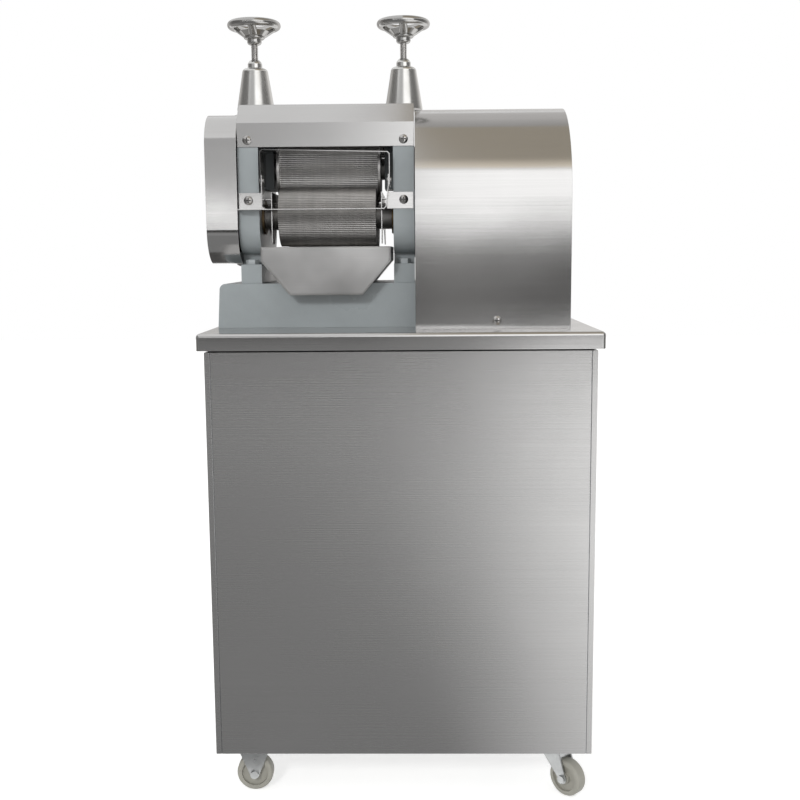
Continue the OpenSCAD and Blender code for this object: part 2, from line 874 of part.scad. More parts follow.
// Angles on the worktop that the motor cover is screwed to
module cover_brackets() {
    front = motor_cover_front + cover_t;
    back = motor_cover_back - cover_t;
    low = [cover_screw_x - bracket_w / 2, 0, worktop_z];
    color(steel)
        difference() {
            union() {
                for (y = [front, back - bracket_t])
                    translate(low + [0, y, 0])
                        cube([bracket_w, bracket_t, bracket_h]);
                for (y = [front, back - bracket_d])
                    translate(low + [0, y, 0])
                        cube([bracket_w, bracket_d, bracket_t]);
            }
            y_rod(sheet_screw_d + 2 * screw_fit, front - 1, back + 1, cover_screw_x, cover_screw_z);
        }
}

// Upper half of the feed chute: an inverted U with folded corners and a slightly falling roof
module feed_chute_upper() {
    w = chute_w / 2;
    t = chute_t;
    f = chute_fold;
    z0 = chute_split - chute_lap / 2;
    left = chute_z1 + chute_droop / 2;
    right = chute_z1 - chute_droop / 2;
    back = head_y - flange_r - 8;
    color(sheet)
        difference() {
            along_y(chute_y0, back)
                translate([head_x, 0])
                    difference() {
                        polygon([[-w, z0], [-w, left - f], [f - w, left],
                                 [w - f, right], [w, right - f], [w, z0]]);
                        polygon([[t - w, z0 - 1], [t - w, left - f - t / 2], [f + t / 2 - w, left - t],
                                 [w - f - t / 2, right - t], [w - t, right - f - t / 2], [w - t, z0 - 1]]);
                    }
            rivet_holes();
        }
}

// Lower half of the feed chute: a U inside the upper half, with two ears on the cheeks.
// Its left wall is upright and its right wall leans in below the overlap.
module feed_chute_lower() {
    w = chute_w / 2 - chute_t - slide_fit;
    b = w - chute_taper;
    t = chute_t;
    f = chute_fold;
    z1 = chute_split + chute_lap / 2;
    zm = chute_split - chute_lap / 2;
    back = front_y - roller_d / 2 - 2;
    ear_y0 = cheek_front - t;
    color(sheet)
        difference() {
            union() {
                along_y(chute_y0, back)
                    translate([head_x, 0])
                        difference() {
                            polygon([[-w, z1], [-w, chute_z0 + f], [f - w, chute_z0],
                                     [b - f, chute_z0], [b, chute_z0 + f], [w, zm], [w, z1]]);
                            polygon([[t - w, z1 + 1], [t - w, chute_z0 + f + t / 2],
                                     [f + t / 2 - w, chute_z0 + t], [b - f - t / 2, chute_z0 + t],
                                     [b - t, chute_z0 + f + t / 2], [w - t, zm], [w - t, z1 + 1]]);
                        }
                for (x = [[left_out + 1, head_x - w + t], [head_x + (w + b) / 2 - t, right_out - 1]])
                    box([x[0], ear_y0, ear_z0], [x[1], cheek_front, ear_z0 + ear_h]);
                box([left_out + 1, chute_y0, chute_z0], [head_x - w + f, cheek_front, chute_z0 + t]);
            }
            rivet_holes();
            for (x = cheek_xs)
                y_rod(sheet_screw_d + 2 * screw_fit, ear_y0 - 1, cheek_front + 1, x, ear_screw_z);
        }
}

module rivet_holes() {
    x_rod(rivet_d + 2 * run_fit, head_x - chute_w / 2 - 1, head_x - chute_w / 2 + 4, rivet_y, rivet_z);
    x_rod(rivet_d + 2 * run_fit, head_x + chute_w / 2 - 4, head_x + chute_w / 2 + 1, rivet_y, rivet_z);
}

module chute_rivets() {
    inner = 2 * chute_t + slide_fit;
    head = 1.6;
    color(steel)
        both_sides()
            translate([head_x - chute_w / 2, rivet_y, rivet_z])
                rotate([0, 90, 0]) {
                    translate([0, 0, -head])
                        cylinder(d = rivet_head_d, h = head);
                    cylinder(d = rivet_d, h = inner);
                    translate([0, 0, inner])
                        cylinder(d = rivet_head_d, h = head);
                }
}

// Slide behind the rollers, held by ears on the cheeks' backs
module discharge_slide() {
    half = chute_w / 2 - 2;
    y0 = rear_y + roller_d / 2 + 3;
    y1 = cheek_back + slide_len;
    t = cover_t;
    z0 = axis_z + slide_up;
    z1 = z0 - slide_fall;
    color(sheet)
        difference() {
            union() {
                along_x(head_x - half, head_x + half)
                    polygon([[y0, z0], [y1, z1], [y1, z1 - t], [y0, z0 - t]]);
                both_sides() {
                    along_x(head_x - half, head_x - half + t)
                        polygon([[y0, z0 - t], [y1, z1 - t], [y1, z1 + slide_side], [y0, z0 + slide_side]]);
                    along_y(cheek_back, cheek_back + t)
                        translate([left_out + 1, ear_z0])
                            square([head_x - half - left_out - 1 + t / 2, ear_h]);
                }
            }
            for (x = cheek_xs)
                y_rod(sheet_screw_d + 2 * screw_fit, cheek_back - 1, cheek_back + t + 1, x, ear_screw_z);
        }
}

// Thin guards between the roller ends and the cheeks: an arch on two legs, with tabs on the cheek
module side_baffles() {
    y0 = front_y - roller_d / 2;
    y1 = rear_y + roller_d / 2;
    notch = tenon_w / 2 + 1;
    arch_z = axis_z - shaft_d / 2 - 2;
    tab_z = axis_z + 22;
    color(sheet)
        both_sides()
            difference() {
                union() {
                    along_x(head_x - baffle_x - baffle_t, head_x - baffle_x)
                        difference() {
                            translate([y0, baffle_z0])
                                square([y1 - y0, baffle_z1 - baffle_z0]);
                            polygon([[y0 + baffle_leg, baffle_z0 - 1], [y0 + 2 * baffle_leg, arch_z],
                                     [y1 - 2 * baffle_leg, arch_z], [y1 - baffle_leg, baffle_z0 - 1]]);
                        }
                    for (y = [y0 + 4, y1 - 4 - baffle_tab_w])
                        box([left_in, y, tab_z],
                            [head_x - baffle_x - baffle_t, y + baffle_tab_w, tab_z + baffle_t]);
                }
                for (y = [front_y, rear_y])
                    x_rod(shaft_d + 4, head_x - baffle_x - 5, head_x - baffle_x + 5, y, axis_z);
                box([head_x - baffle_x - 5, head_y - notch, tenon_z0 - 1],
                    [head_x - baffle_x + 5, head_y + notch, baffle_z1 + 1]);
            }
}

// Curved bar that carries the cane from the first nip to the second
module trash_plate() {
    x0 = roller_x0 - top_over + 0.5;
    x1 = roller_x1 + top_over - 0.5;
    half = 14;
    tenon_z1 = top_z - flange_r - 1.5;
    color(steel) {
        along_x(x0, x1)
            difference() {
                translate([head_y - half, tenon_z0])
                    square([2 * half, top_z - roller_d / 2 + 4 - tenon_z0]);
                translate([head_y, top_z])
                    circle(roller_d / 2 + trash_top_room);
                for (y = [front_y, rear_y])
                    translate([y, axis_z])
                        circle(roller_d / 2 + trash_room);
            }
        for (x = [[left_in, x0], [x1, right_in]])
            box([x[0], head_y - tenon_w / 2, tenon_z0], [x[1], head_y + tenon_w / 2, tenon_z1]);
    }
}

module lower_bushes() {
    color("darkgoldenrod")
        both_sides()
            for (y = [front_y, rear_y])
                difference() {
                    union() {
                        x_rod(bush_d, left_out, left_in, y, axis_z);
                        x_rod(bush_flange_d, left_in, left_in + bush_flange_t, y, axis_z);
                    }
                    x_rod(shaft_d + 2 * run_fit, left_out - 1, left_in + bush_flange_t + 1, y, axis_z);
                }
}

// Front view of the tray and its spout, drawn in by a sheet thickness and lengthened at its ends
module spout_outline(inset, extra) {
    top = tray_w / 2 - inset;
    lip = lip_w / 2 - inset;
    corner = tray_top - spout_side;
    polygon([[-top, tray_top + extra], [-top, corner], [-lip, lip_z],
             [-lip, lip_z - extra], [lip, lip_z - extra],
             [lip, lip_z], [top, corner], [top, tray_top + extra]]);
}

// Pull-out tray under the rollers: leaning sides that stand on the base, a floor that falls to the front
// and a spout before the base that is open below
module juice_tray() {
    t = tray_t;
    w = tray_w / 2;
    color(sheet)
        translate([head_x, 0, 0])
            difference() {
                along_y(spout_y0, tray_y1)
                    spout_outline(0, 0);
                box([-w, tray_y0, lip_z - 1], [w, tray_y1 + 1, base_top]);
                along_y(spout_y0 + t, tray_y0 - t)
                    spout_outline(t, 1);
                intersection() {
                    along_y(tray_y0 - 2 * t, tray_y1 - t)
                        spout_outline(t, 1);
                    along_x(-w, w)
                        polygon([[tray_y0 - 2 * t, tray_floor_front], [tray_y1 - t, tray_floor_back],
                                 [tray_y1 - t, tray_top + 1], [tray_y0 - 2 * t, tray_top + 1]]);
                }
                intersection() {
                    along_y(tray_y0, tray_y1 + 1)
                        spout_outline(t, 1);
                    along_x(-w, w)
                        polygon([[tray_y0, base_top - 1], [tray_y0, tray_floor_front - t],
                                 [tray_y1 + 1, tray_floor_back - t], [tray_y1 + 1, base_top - 1]]);
                }
            }
}

// Flat gearbox on the right cheek: output below, motor above and behind
module gearbox() {
    color("dimgray")
        difference() {
            along_x(right_out, gearbox_x1)
                hull()
                    for (centre = [[front_y, axis_z], [motor_y, motor_z]])
                        translate(centre)
                            circle(gearbox_d / 2, $fn = 48);
            x_rod(sleeve_d + 2 * run_fit, right_out + 6, gearbox_x1 - 6, front_y, axis_z);
            x_rod(bush_d, right_out - 1, right_out + 7, front_y, axis_z);
        }
}

module motor() {
    fan_x = motor_x1 - fan_len;
    color("slategray") {
        x_rod(motor_d - 2 * fin_h, gearbox_x1, motor_x1 - 4, motor_y, motor_z);
        for (x = [gearbox_x1:fin_pitch:fan_x - 4])
            x_rod(motor_d, x, x + 3, motor_y, motor_z);
        x_rod(motor_d, fan_x, motor_x1, motor_y, motor_z);
    }
}

// Hollow shaft of the gearbox, keyed on the driven roller's end
module output_sleeve() {
    color(steel)
        difference() {
            x_rod(sleeve_d, right_out + 8, gearbox_x1 - 8, front_y, axis_z);
            x_rod(gear_shaft_d + 2 * run_fit, right_out + 7, gearbox_x1 - 7, front_y, axis_z);
        }
}

module cable_gland() {
    y = motor_cover_back;
    color("black")
        difference() {
            union() {
                y_rod(gland_d, y - cover_t - 9, y + 1, gland_x, gland_z);
                translate([gland_x, y + 6, gland_z])
                    rotate([90, 0, 0])
                        cylinder(d = gland_d + 8, h = 6, $fn = 6);
                y_rod(gland_d + 3, y + 5, y + 15, gland_x, gland_z);
                translate([gland_x, y - cover_t, gland_z])
                    rotate([90, 0, 0])
                        cylinder(d = gland_d + 8, h = 5, $fn = 6);
            }
            y_rod(gland_d - 7, y - 20, y + 20, gland_x, gland_z);
        }
}

module switch_outline(grow) {
    translate([switch_y - switch_w / 2 - grow, switch_z - switch_h / 2 - grow])
        square([switch_w + 2 * grow, switch_h + 2 * grow]);
}

module switch_body() {
    x = motor_cover_x1;
    wall = 3;
    color("black")
        difference() {
            union() {
                along_x(x - switch_depth, x + 0.5)
                    switch_outline(0);
                along_x(x, x + switch_bezel)
                    switch_outline(2.5);
            }
            along_x(x - 8, x + switch_bezel + 1)
                switch_outline(-wall);
        }
    color("black")
        y_rod(rocker_pin_d, switch_y - switch_w / 2 + 1, switch_y + switch_w / 2 - 1, x - 1, switch_z);
}

// Rocker that tips about a Y axis in its frame
module switch_rocker() {
    w = switch_w - 7;
    h = switch_h - 9;
    color("black")
        along_y(switch_y - w / 2, switch_y + w / 2)
            translate([motor_cover_x1 - 1, switch_z])
                rotate(rocker_tilt)
                    difference() {
                        polygon([[-3, 2 - h / 2], [4.5, -h / 2], [3, 0], [4.5, h / 2], [-3, h / 2 - 2]]);
                        circle(d = rocker_pin_d + 2 * run_fit);
                    }
}

// A roller's flutes in cross-section
module fluted_disc() {
    tip = roller_d / 2;
    polygon([
        for (i = [0:2 * flutes - 1])
            let (a = 180 * i / flutes)
            (tip - (i % 2) * flute_depth) * [cos(a), sin(a)]
    ]);
}

module roller(y, z, x0, x1, shaft_end) {
    along_x(x0, x1)
        translate([y, z])
            fluted_disc();
    x_rod(shaft_d, gear_x1 + 1, shaft_end, y, z);
    x_rod(gear_shaft_d, gear_x0 - 2, gear_x1 + 2, y, z);
}

module front_roller() {
    color(steel) {
        roller(front_y, axis_z, roller_x0, roller_x1, right_out + 5);
        x_rod(gear_shaft_d, right_out + 4, gearbox_x1 - 9, front_y, axis_z);
    }
}

module rear_roller() {
    color(steel)
        roller(rear_y, axis_z, roller_x0, roller_x1, right_out - hidden_end);
}

module top_roller() {
    color(steel) {
        roller(head_y, top_z, roller_x0 - top_over, roller_x1 + top_over, right_out - hidden_end);
        for (x = [roller_x0 - top_over - flange_t, roller_x1 + top_over])
            x_rod(2 * flange_r, x, x + flange_t, head_y, top_z);
    }
}

function involute(a) = tan(a) * 180 / PI - a;
function half_tooth(r) =
    let (base_r = pitch_r * cos(pressure_angle), a = r > base_r ? acos(base_r / r) : 0)
    90 / gear_teeth - backlash / pitch_r * 45 / PI + involute(pressure_angle) - involute(a);

module gear_outline() {
    radii = [gear_root_r, pitch_r - 0.4 * gear_module, pitch_r + 0.2 * gear_module, gear_tip_r];
    flank = [for (r = radii) [r, half_tooth(r)]];
    last = len(radii) - 1;
    polygon([
        for (k = [0:gear_teeth - 1], i = [0:2 * last + 1])
            let (f = flank[i <= last ? i : 2 * last + 1 - i],
                 a = 360 * k / gear_teeth + (i <= last ? -1 : 1) * f[1])
            f[0] * [cos(a), sin(a)]
    ]);
}

module gear(y, z, phase) {
    recess = 0.66 * gear_root_r;
    color(steel)
        difference() {
            along_x(gear_x0, gear_x1)
                translate([y, z])
                    rotate(phase)
                        gear_outline();
            x_rod(gear_shaft_d + 2 * run_fit, gear_x0 - 1, gear_x1 + 1, y, z);
            difference() {
                x_rod(2 * (gear_root_r - 5), gear_x0 - 1, gear_x0 + 4, y, z);
                x_rod(recess + 14, gear_x0 - 2, gear_x0 + 5, y, z);
            }
        }
}

module front_gear() {
    gear(front_y, axis_z, front_phase);
}

module rear_gear() {
    gear(rear_y, axis_z, rear_phase);
}

module top_gear() {
    gear(head_y, top_z, top_phase);
}

// Bearing blocks of the top roller, which float in the cheeks' slots
module bearing_blocks() {
    color(paint)
        both_sides()
            difference() {
                box([left_out + hidden_end, head_y - block_w / 2, slot_z],
                    [left_in + block_in, head_y + block_w / 2, slot_z + block_h]);
                x_rod(shaft_d + 2 * run_fit, left_out, left_in + block_in + 1, head_y, top_z);
            }
}

module push_rods() {
    color(steel)
        for (x = cheek_xs) {
            z_rod(rod_d, slot_z + block_h, rod_head_z + 1, x, head_y);
            z_rod(rod_head_d, rod_head_z, rod_head_z + rod_head_t, x, head_y);
        }
}

module tower(x) {
    r = shoulder_r;
    top = tower_top_d / 2;
    color(chrome)
        translate([x, head_y, tower_z])
            difference() {
                union() {
                    rotate_extrude() {
                        polygon([[0, 0], [tower_d / 2, 0], [tower_d / 2, 3],
                                 [top, tower_h - r], [top - r, tower_h],
                                 [0, tower_h]]);
                        translate([top - r, tower_h - r])
                            intersection() {
                                circle(r);
                                square(r);
                            }
                    }
                    translate([0, 0, -spigot_len])
                        cylinder(d = spigot_d, h = spigot_len + 1);
                }
                translate([0, 0, tower_floor])
                    cylinder(d = chamber_d, h = tower_h - tower_floor - tower_wall_top);
                translate([0, 0, -spigot_len - 1])
                    cylinder(d = rod_d + 2 * run_fit, h = spigot_len + tower_floor + 2);
                cylinder(d = screw_d + 2 * run_fit, h = tower_h + 1);
            }
}

module left_tower() {
    tower(cheek_xs[0]);
}

module right_tower() {
    tower(cheek_xs[1]);
}

// Domed lock nuts on the towers
module dome_nuts() {
    r = dome_d / 2;
    neck = screw_d / 2 + 1;
    color(chrome)
        for (x = cheek_xs)
            translate([x, head_y, dome_z])
                difference() {
                    intersection() {
                        crown_ball(r, dome_h);
                        cylinder(d = dome_d, h = dome_h);
                    }
                    translate([0, 0, -1])
                        cylinder(d = screw_d + 2 * run_fit, h = dome_h + 2);
                    translate([0, 0, dome_h - 0.5])
                        cylinder(r = neck, h = 1);
                }
}

// Ball whose foot circle has radius r and whose crown stands a little above h
module crown_ball(r, h) {
    flat = screw_d / 2 + 1.5;
    drop = (r * r - h * h - flat * flat) / (2 * h);
    translate([0, 0, -drop])
        sphere(sqrt(r * r + drop * drop), $fn = 64);
}

// Round wire wound as one unbroken tube; prints the least gap between neighbouring turns
module coil(d, wire, turns, h) {
    per_turn = 12;
    steps = per_turn * turns;
    sides = 8;
    mean = d / 2 - wire / 2;
    middle = [
        for (i = [0:steps])
            let (a = 360 * i / per_turn)
            [mean * cos(a), mean * sin(a), wire / 2 + (h - wire) * i / steps]
    ];
    gaps = [
        for (i = [0:steps - per_turn - 1], k = [per_turn - 1:per_turn + 1])
            norm(middle[i + k] - middle[i]) - wire
    ];
    echo(least_gap_between_turns = min(gaps));
    points = [
        for (i = [0:steps], j = [0:sides - 1])
            let (a = 360 * i / per_turn, b = 360 * j / sides)
            middle[i] + wire / 2 * [cos(b) * cos(a), cos(b) * sin(a), sin(b)]
    ];
    walls = [
        for (i = [0:steps - 1], j = [0:sides - 1], half = [0, 1])
            let (p = i * sides + j, q = i * sides + (j + 1) % sides)
            half == 0 ? [p, q, q + sides] : [p, q + sides, p + sides]
    ];
    first = [for (j = [sides - 1:-1:0]) j];
    last = [for (j = [0:sides - 1]) steps * sides + j];
    polyhedron(points, concat([first], walls, [last]));
}

module spring(x) {
    color("darkgray")
        translate([x, head_y, spring_z0])
            coil(spring_d, spring_wire, spring_turns, spring_z1 - spring_z0);
}

module left_spring() {
    spring(cheek_xs[0]);
}

module right_spring() {
    spring(cheek_xs[1]);
}

// Thrust pad between a pressure screw and its spring
module pad(x) {
    color(steel)
        difference() {
            z_rod(chamber_d - 2 * slide_fit, spring_z1, pad_top, x, head_y);
            z_rod(screw_d + 2 * run_fit, pad_top - screw_seat, pad_top + 1, x, head_y);
        }
}

module left_pad() {
    pad(cheek_xs[0]);
}

module right_pad() {
    pad(cheek_xs[1]);
}

module pressure_screw(x) {
    color(steel)
        z_rod(screw_d, pad_top - screw_seat, hub_z + 17, x, head_y);
}

module left_screw() {
    pressure_screw(cheek_xs[0]);
}

module right_screw() {
    pressure_screw(cheek_xs[1]);
}

// Dished handwheel: bowl-shaped hub, three rising spokes and a round rim
module handwheel(x) {
    rim_r = (wheel_rim_d - rim_t) / 2;
    spoke_z = 10;
    spoke_len = norm([rim_r, rim_rise - spoke_z]);
    tilt = atan2(rim_r, rim_rise - spoke_z);
    foot = 4;
    bead = 2.5;
    color(chrome)
        translate([x, head_y, hub_z])
            difference() {
                union() {
                    rotate_extrude() {
                        square([foot + 2, 10]);
                        translate([0, foot])
                            square([2 * foot + 2, 6]);
                        translate([foot + 2, foot])
                            circle(foot);
                        translate([hub_d / 2 - bead, 10])
                            circle(bead);
                        polygon([[0, 10 - bead], [hub_d / 2 - bead, 10 - bead],
                                 [hub_d / 2 - 1, 11], [hub_d / 2 + 6, 18],
                                 [hub_d / 2 + 3, 20], [0, 17]]);
                        translate([rim_r, rim_rise])
                            circle(d = rim_t);
                    }
                    for (k = [0:2])
                        rotate([0, 0, 120 * k + 30])
                            translate([0, 0, spoke_z])
                                rotate([0, tilt, 0])
                                    cylinder(d1 = 17, d2 = 9, h = spoke_len);
                }
                translate([0, 0, -1])
                    cylinder(d = screw_d + 2 * run_fit, h = 18);
            }
}

module left_handwheel() {
    handwheel(cheek_xs[0]);
}

module right_handwheel() {
    handwheel(cheek_xs[1]);
}

// Pan-head screw whose head rests on z = 0 and whose shank points down
module pan_screw(shank) {
    rise = sheet_head_h;
    r = sheet_head_d / 2;
    difference() {
        union() {
            intersection() {
                translate([0, 0, rise - (r * r + rise * rise) / (2 * rise) * 1.35])
                    sphere((r * r + rise * rise) / (2 * rise) * 1.35);
                cylinder(r = r, h = rise);
            }
            translate([0, 0, -shank])
                cylinder(d = sheet_screw_d, h = shank + 0.5);
        }
        for (turn = [0, 90])
            rotate(turn)
                translate([-r * 0.55, -0.6, rise - 1.3])
                    cube([r * 1.1, 1.2, 2]);
    }
}

module sheet_screws() {
    t = cover_t;
    color(steel) {
        for (x = cheek_xs, z = [[apron_screw_z, cover_t], [ear_screw_z, chute_t]])
            translate([x, cheek_front - z[1], z[0]])
                rotate([90, 0, 0])
                    pan_screw(14);
        for (x = cheek_xs, z = [apron_screw_z, ear_screw_z])
            translate([x, cheek_back + t, z])
                rotate([-90, 0, 0])
                    pan_screw(14);
        for (y = lug_ys) {
            translate([left_out - lug / 2, y, gear_cover_z1])
                pan_screw(9);
            translate([left_out - lug / 2, y, gear_cover_z0])
                rotate([180, 0, 0])
                    pan_screw(9);
        }
        translate([cover_screw_x, motor_cover_front, cover_screw_z])
            rotate([90, 0, 0])
                pan_screw(8);
        translate([cover_screw_x, motor_cover_back, cover_screw_z])
            rotate([-90, 0, 0])
                pan_screw(8);
    }
}

module hex_bolts() {
    under = worktop_z - worktop_sheet;
    foot_z = base_top + foot_h;
    color(steel) {
        foot_bolt_holes(base_top - 22, foot_z + 1, bolt_d);
        foot_bolt_heads(foot_z);
        base_bolt_holes(under - 1, base_top - 24, bolt_d);
        base_bolt_heads(under - bolt_head_h);
        at_each_caster() {
            caster_bolts(fork_top - 1, rail_z - screw_fit, caster_bolt_d);
            caster_bolts(fork_top - caster_head_h, fork_top, 1.9 * caster_bolt_d, 6);
        }
    }
}

module foot_bolt_heads(z) {
    for (x = cheek_xs, y = [-1, 1] * (cheek_d / 2 - 22))
        translate([x, head_y + y, z])
            cylinder(d = bolt_head_d, h = bolt_head_h, $fn = 6);
}

module base_bolt_heads(z) {
    for (x = [left_out - base_left + 24, right_out + base_right - 24], y = [-1, 1] * (base_d / 2 - 22))
        translate([x, head_y + y, z])
            cylinder(d = bolt_head_d, h = bolt_head_h, $fn = 6);
}

// Side view of a fork leg that runs from its crown down to the axle
module fork_leg(crown, offset_x, z1) {
    boss = axle_d / 2 + 2.5;
    polygon([[-crown / 2, z1], [crown / 2, z1], [offset_x + boss, wheel_r], [offset_x - boss, wheel_r]]);
    translate([offset_x, wheel_r])
        circle(boss);
}

// Two legs, their rivetted axle and the crown above; the wheel rolls along X
module fork(crown, offset_x, z1) {
    y = fork_gap / 2;
    for (side = [-y - fork_t, y])
        along_y(side, side + fork_t)
            fork_leg(crown, offset_x, z1);
    y_rod(axle_d, -y - fork_t - 1, y + fork_t + 1, offset_x, wheel_r);
    y_rod(axle_d + 3, -y - fork_t - 3, -y - fork_t, offset_x, wheel_r);
    y_rod(axle_d + 3, y + fork_t, y + fork_t + 3, offset_x, wheel_r);
}

module fixed_forks() {
    crown = 50;
    half = fork_gap / 2 + fork_t;
    color("lightgray")
        for (y = [-caster_y, caster_y])
            translate([-caster_x, y, 0]) {
                fork(crown, 0, fork_top);
                box([-crown / 2, -half, fork_top - fork_t], [crown / 2, half, fork_top]);
                translate([0, 0, fork_top])
                    caster_top();
            }
}

module caster_top() {
    difference() {
        translate([-caster_plate / 2, -caster_plate / 2, 0])
            cube([caster_plate, caster_plate, plate_t]);
        caster_bolts(-1, plate_t + 1, caster_bolt_d + 2 * screw_fit);
    }
}

// Rods at the four bolt places of one caster plate
module caster_bolts(z0, z1, d, sides = $fn) {
    for (x = [-1, 1] * (caster_plate / 2 - 8), y = [-1, 1] * (caster_plate / 2 - 8))
        translate([x, y, z0])
            cylinder(d = d, h = z1 - z0, $fn = sides);
}

module at_each_caster() {
    for (x = [-caster_x, caster_x], y = [-caster_y, caster_y])
        translate([x, y, 0])
            children();
}

module swivel_plates() {
    color("lightgray")
        for (y = [-caster_y, caster_y])
            translate([caster_x, y, 0]) {
                translate([0, 0, fork_top])
                    caster_top();
                translate([0, 0, fork_top - race_h])
                    cylinder(d = race_d, h = race_h);
                z_rod(king_pin_d, swivel_top - fork_t - 2.5, fork_top, 0, 0);
                z_rod(king_pin_d + 5, swivel_top - fork_t - 3.5, swivel_top - fork_t - swivel_play, 0, 0);
            }
}

// Swivel fork that trails behind its pin
module swivel_fork(y) {
    crown = 36;
    half = fork_gap / 2 + fork_t;
    color("lightgray")
        translate([caster_x, y, 0])
            rotate(trail_angle)
                difference() {
                    union() {
                        fork(crown, caster_trail, swivel_top);
                        z_rod(race_d - 4, swivel_top - fork_t, swivel_top, 0, 0);
                        box([-crown / 2, -half, swivel_top - fork_t], [crown / 2, half, swivel_top]);
                    }
                    z_rod(king_pin_d + 2 * run_fit, swivel_top - fork_t - 1, swivel_top + 1, 0, 0);
                }
}

module front_swivel_fork() {
    swivel_fork(-caster_y);
}

module rear_swivel_fork() {
    swivel_fork(caster_y);
}

// Nylon wheel with a rounded tread, a recessed web and a bored hub
module wheel_at(x, y, turn) {
    r = wheel_r;
    w = wheel_w / 2;
    edge = 4;
    color("wheat")
        translate([x, y, r])
            rotate([90, 0, turn])
                difference() {
                    rotate_extrude() {
                        translate([0, -w])
                            square([r - edge, wheel_w]);
                        translate([0, edge - w])
                            square([r, wheel_w - 2 * edge]);
                        for (z = [edge - w, w - edge])
                            translate([r - edge, z])
                                circle(edge);
                        translate([0, -w - 1])
                            square([axle_d / 2 + 4, wheel_w + 2]);
                    }
                    for (z = [-w - 1, w - 3.5])
                        translate([0, 0, z])
                            difference() {
                                cylinder(r = r - 7, h = 4.5);
                                translate([0, 0, -1])
                                    cylinder(r = axle_d / 2 + 4, h = 7);
                            }
                    translate([0, 0, -w - 2])
                        cylinder(d = axle_d + 2 * run_fit, h = wheel_w + 4);
                }
}

module front_left_wheel() {
    wheel_at(-caster_x, -caster_y, 0);
}

module rear_left_wheel() {
    wheel_at(-caster_x, caster_y, 0);
}

module front_right_wheel() {
    wheel_at(caster_x + trail_xy.x, -caster_y + trail_xy.y, trail_angle);
}

module rear_right_wheel() {
    wheel_at(caster_x + trail_xy.x, caster_y + trail_xy.y, trail_angle);
}

cabinet_frame();
front_panel();
side_panels();
cabinet_floor();
worktop();
worktop_gasket();
rear_door();
door_hinges();
door_latch();
head_base();
left_cheek();
right_cheek();
top_cover();
gear_cover();
motor_cover();
cover_brackets();
feed_chute_upper();
feed_chute_lower();
chute_rivets();
discharge_slide();
side_baffles();
trash_plate();
lower_bushes();
juice_tray();
gearbox();
motor();
output_sleeve();
cable_gland();
switch_body();
switch_rocker();
front_roller();
rear_roller();
top_roller();
front_gear();
rear_gear();
top_gear();
bearing_blocks();
push_rods();
left_tower();
right_tower();
dome_nuts();
left_spring();
right_spring();
left_pad();
right_pad();
left_screw();
right_screw();
left_handwheel();
right_handwheel();
sheet_screws();
hex_bolts();
fixed_forks();
swivel_plates();
front_swivel_fork();
rear_swivel_fork();
front_left_wheel();
rear_left_wheel();
front_right_wheel();
rear_right_wheel();
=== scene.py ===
import json
import math

import bpy
from mathutils import Matrix, Vector


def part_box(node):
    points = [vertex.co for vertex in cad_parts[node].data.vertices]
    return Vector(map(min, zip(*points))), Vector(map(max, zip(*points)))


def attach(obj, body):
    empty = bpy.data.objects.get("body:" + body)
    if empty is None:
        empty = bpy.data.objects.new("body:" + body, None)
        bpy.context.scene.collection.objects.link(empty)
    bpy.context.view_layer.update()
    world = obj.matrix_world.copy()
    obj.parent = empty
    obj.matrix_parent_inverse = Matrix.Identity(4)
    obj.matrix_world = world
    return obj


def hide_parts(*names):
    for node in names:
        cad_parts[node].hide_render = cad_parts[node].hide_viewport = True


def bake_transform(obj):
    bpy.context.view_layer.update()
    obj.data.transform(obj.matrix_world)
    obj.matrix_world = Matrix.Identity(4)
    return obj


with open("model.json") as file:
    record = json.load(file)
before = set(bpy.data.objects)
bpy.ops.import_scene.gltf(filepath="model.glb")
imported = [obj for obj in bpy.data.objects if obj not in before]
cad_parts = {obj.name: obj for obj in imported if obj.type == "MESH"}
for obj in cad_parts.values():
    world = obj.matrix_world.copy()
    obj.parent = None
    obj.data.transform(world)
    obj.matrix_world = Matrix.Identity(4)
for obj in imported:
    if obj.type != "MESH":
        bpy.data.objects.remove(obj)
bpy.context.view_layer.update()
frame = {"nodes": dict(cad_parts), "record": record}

# Camera, fitted to the photograph, in metres and radians
CAMERA_AT = Vector((0.0216, -1.5622, 0.7367))
CAMERA_YAW = -0.0165
CAMERA_PITCH_DOWN = 0.1338
CAMERA_ROLL = 0.0077
SENSOR_MM = 36.0
LENS_MM = 48.58

# Rollers, in metres, as in the solids
ROLLER_RADIUS = 0.040
FLUTE_DEPTH = 0.0008

# Thread of the pressure screws, in metres; a flank above 1 leaves a flat root
THREAD_PITCH = 0.0015
THREAD_DEPTH = 0.0008
THREAD_FLANK = 1.15
THREAD_SIDES = 32
THREAD_RINGS_PER_PITCH = 8

# Pressure springs inside the towers, in metres, as in the solids
SPRING_WIRE = 0.0032
SPRING_TURNS = 5.0
SPRING_MIDDLE = 0.5
SPRING_SIDES = 12
SPRING_RINGS_PER_TURN = 48

# Finishes: the radius by which edges catch the light, and the ranges that hold most of the values
# of one noise and of the sum of two
EDGE_RADIUS = 0.0006
NOISE_RANGE = (0.3, 0.7)
SUM_RANGE = (0.35, 0.65)
UNIT_RANGE = (0.0, 1.0)

# Brushed sheet: noise cells to the metre across and along the brushing, how squarely a face looks
# along X when it counts as an end, and the depth of the painted shade on the feed chute's left side
BRUSH_ACROSS = 2200.0
BRUSH_ALONG = 2.5
BRUSH_LINES = {
    "x": (BRUSH_ALONG, BRUSH_ACROSS, BRUSH_ACROSS),
    "y": (BRUSH_ACROSS, BRUSH_ALONG, BRUSH_ACROSS),
    "z": (BRUSH_ACROSS, BRUSH_ACROSS, BRUSH_ALONG),
}
END_FACING = 0.75
SMEAR_RANGE = (0.40, 0.60)
SHADED_SIDE_FACTOR = 0.22
